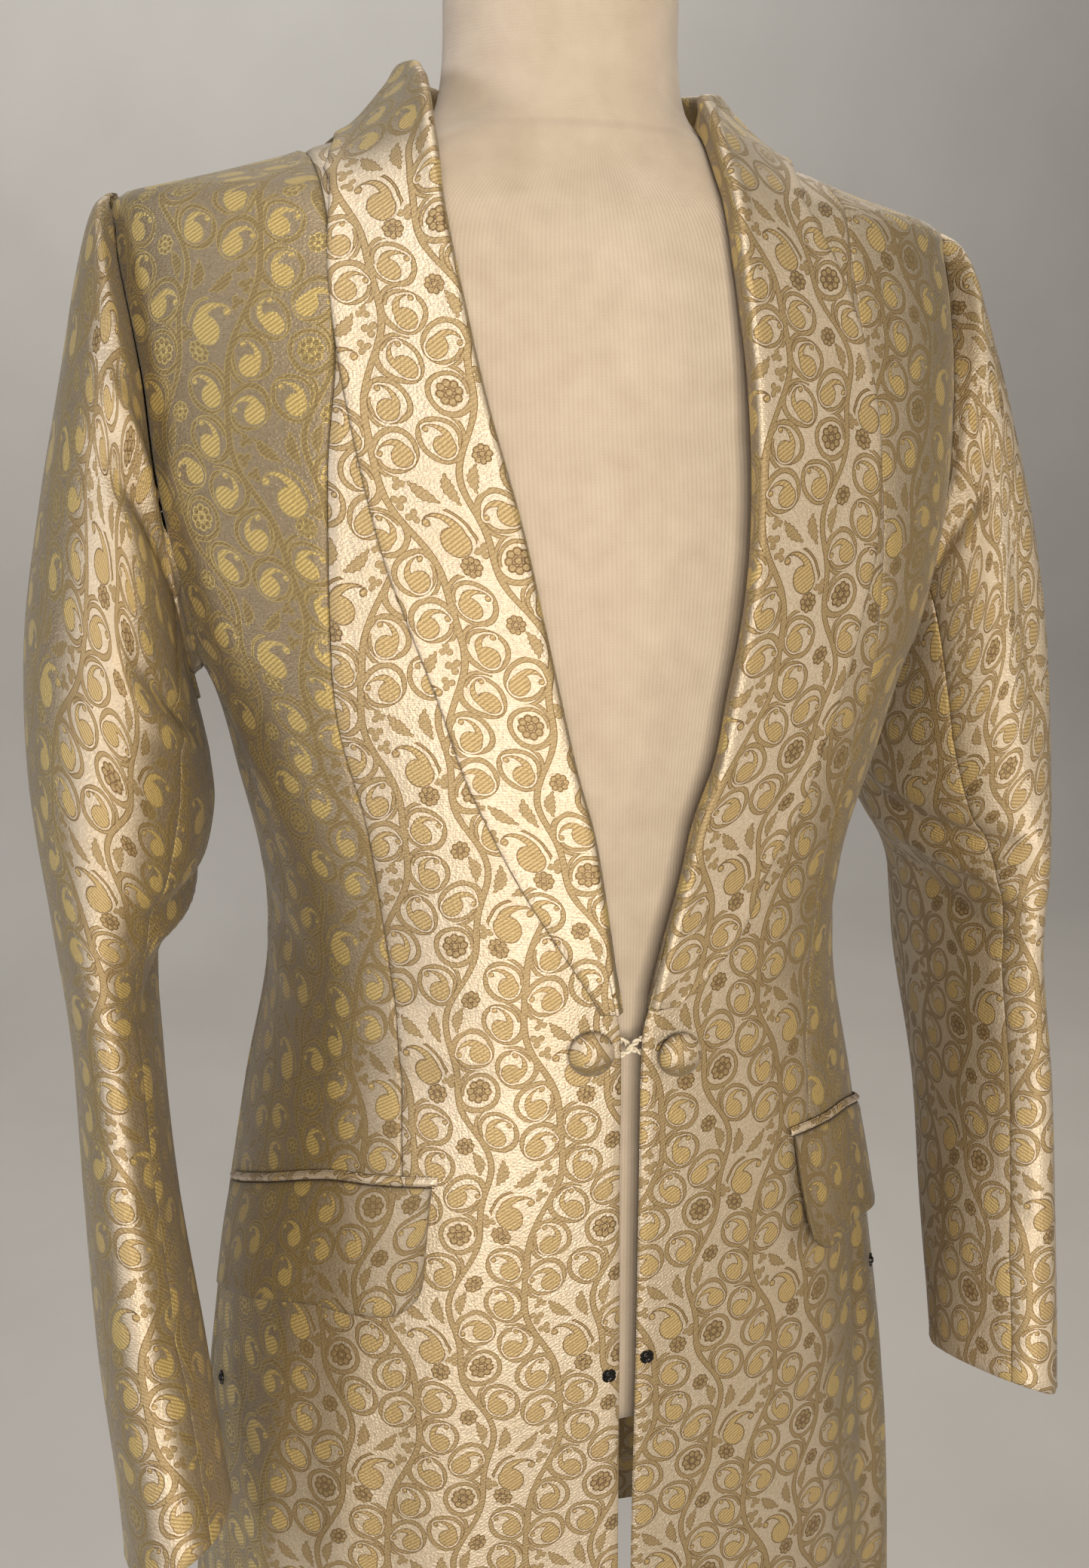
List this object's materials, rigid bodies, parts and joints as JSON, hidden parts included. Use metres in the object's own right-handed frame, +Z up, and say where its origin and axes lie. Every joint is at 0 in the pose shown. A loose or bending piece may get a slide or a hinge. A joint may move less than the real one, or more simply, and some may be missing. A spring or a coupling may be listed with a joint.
{
  "type": "day coat on a dress form",
  "caption": "Knee-length day coat in patterned cloth, with a long shawl collar and fronts linked at the waist, on a limbless dress form with a round stand.",
  "frame": {"origin": "on the floor, under the middle of the stand's round base", "axes": "+Z up, -Y towards the front of the coat, +X towards the wearer's left"},
  "size_m": [0.57, 0.4, 1.5913],
  "materials": {
    "brocade": "figured cream and old-gold jacquard with a soft lustre",
    "cord_silk": "twisted cream cord, matt",
    "stud_metal": "dark metal, slightly worn",
    "form_jersey": "fine cream jersey, matt",
    "cap_wood": "turned hardwood, satin varnish",
    "stand_steel": "satin steel tube",
    "base_paint": "black satin paint"
  },
  "bodies": {
    "root": {"front_right": "brocade", "front_left": "brocade", "side_front_right": "brocade", "side_front_left": "brocade", "back_right": "brocade", "back_left": "brocade", "topsleeve_right": "brocade", "topsleeve_left": "brocade", "undersleeve_right": "brocade", "undersleeve_left": "brocade", "collar_right": "brocade", "collar_left": "brocade", "pocket_flap_right": "brocade", "pocket_flap_left": "brocade", "pocket_welt_right": "brocade", "pocket_welt_left": "brocade", "button_right": "brocade", "button_left": "brocade", "stud_front_right": "stud_metal", "stud_front_left": "stud_metal", "stud_side_right": "stud_metal", "stud_side_left": "stud_metal", "link_cord": "cord_silk", "form_torso": "form_jersey", "form_neck_cap": "cap_wood", "stand_pole": "stand_steel", "stand_base": "base_paint"}
  },
  "joints": []
}
